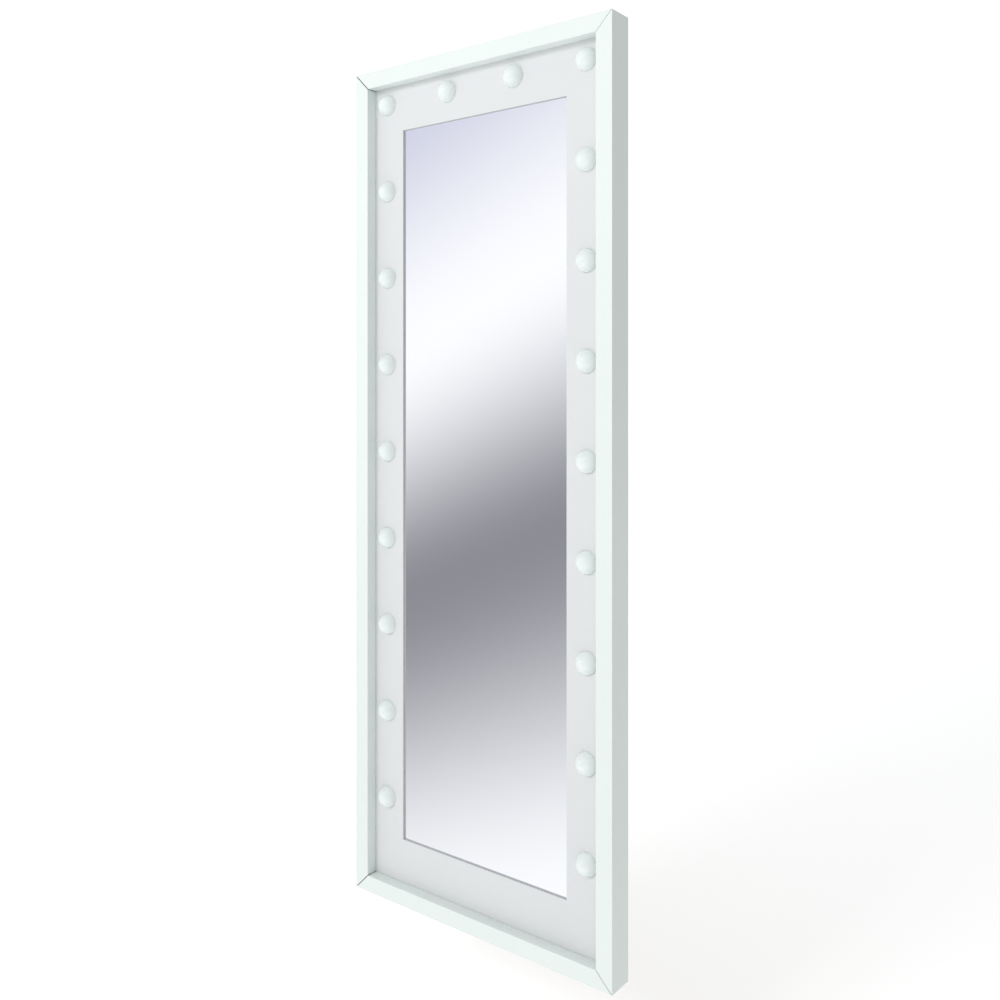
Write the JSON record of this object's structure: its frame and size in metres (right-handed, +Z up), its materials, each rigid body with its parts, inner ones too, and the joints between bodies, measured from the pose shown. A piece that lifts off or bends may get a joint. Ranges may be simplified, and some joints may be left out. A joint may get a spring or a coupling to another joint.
{
  "type": "lighted vanity mirror",
  "caption": "Tall wall-hung mirror in a deep white shadow-box frame with opal globe lamps down both sides and across the top, and a rocker switch.",
  "frame": {"origin": "middle of the top rail's rear face, on the wall plane", "axes": "+Z up, -Y out of the glass towards the viewer, +Y into the wall, +X to the right as the viewer sees it"},
  "size_m": [0.6044, 0.054, 1.6518],
  "materials": {
    "white_foil": "white foil-wrapped MDF, satin",
    "white_panel": "off-white lacquered HDF, matt",
    "silvered_glass": "silvered float glass",
    "hardboard": "raw hardboard",
    "opal": "opal globe, glossy",
    "zinc_steel": "zinc plated",
    "softwood": "planed softwood",
    "black_plastic": "moulded, black",
    "white_plastic": "moulded, white",
    "wire_jacket": "flexible jacket"
  },
  "bodies": {
    "mirror": {"rail_left": "white_foil", "rail_right": "white_foil", "rail_top": "white_foil", "rail_bottom": "white_foil", "face_panel": "white_panel", "mirror_glass": "silvered_glass", "back_board": "hardboard", "bulb_01": "opal", "bulb_02": "opal", "bulb_03": "opal", "bulb_04": "opal", "bulb_05": "opal", "bulb_06": "opal", "bulb_07": "opal", "bulb_08": "opal", "bulb_09": "opal", "bulb_10": "opal", "bulb_11": "opal", "bulb_12": "opal", "bulb_13": "opal", "bulb_14": "opal", "bulb_15": "opal", "bulb_16": "opal", "bulb_17": "opal", "bulb_18": "opal", "bulb_19": "opal", "bulb_20": "opal", "board_screw_1": "zinc_steel", "board_screw_2": "zinc_steel", "board_screw_3": "zinc_steel", "board_screw_4": "zinc_steel", "board_screw_5": "zinc_steel", "board_screw_6": "zinc_steel", "hanger_screw_1": "zinc_steel", "hanger_screw_2": "zinc_steel", "hanger_screw_3": "zinc_steel", "hanger_screw_4": "zinc_steel", "hanger_left": "zinc_steel", "hanger_right": "zinc_steel", "brace_bottom_left": "zinc_steel", "brace_top_left": "zinc_steel", "brace_bottom_right": "zinc_steel", "brace_top_right": "zinc_steel", "glass_clip_right_1": "zinc_steel", "glass_clip_right_2": "zinc_steel", "glass_clip_left_1": "zinc_steel", "glass_clip_left_2": "zinc_steel", "glass_clip_top_1": "zinc_steel", "glass_clip_top_2": "zinc_steel", "jack_nut": "zinc_steel", "hanging_batten": "softwood", "glass_ledge": "softwood", "dc_jack": "black_plastic", "switch_housing": "white_plastic", "terminal_block": "white_plastic", "wiring_loom": "wire_jacket", "switch_lead": "wire_jacket", "jack_lead": "wire_jacket"},
    "rocker": {"switch_rocker": "white_plastic"}
  },
  "joints": [
    {"name": "rocker_tilt", "type": "hinge", "parent": "mirror", "child": "rocker", "pos_m": [-0.2995, -0.019, -1.346], "axis": [0, 1, 0], "range_deg": [0, 16]}
  ]
}
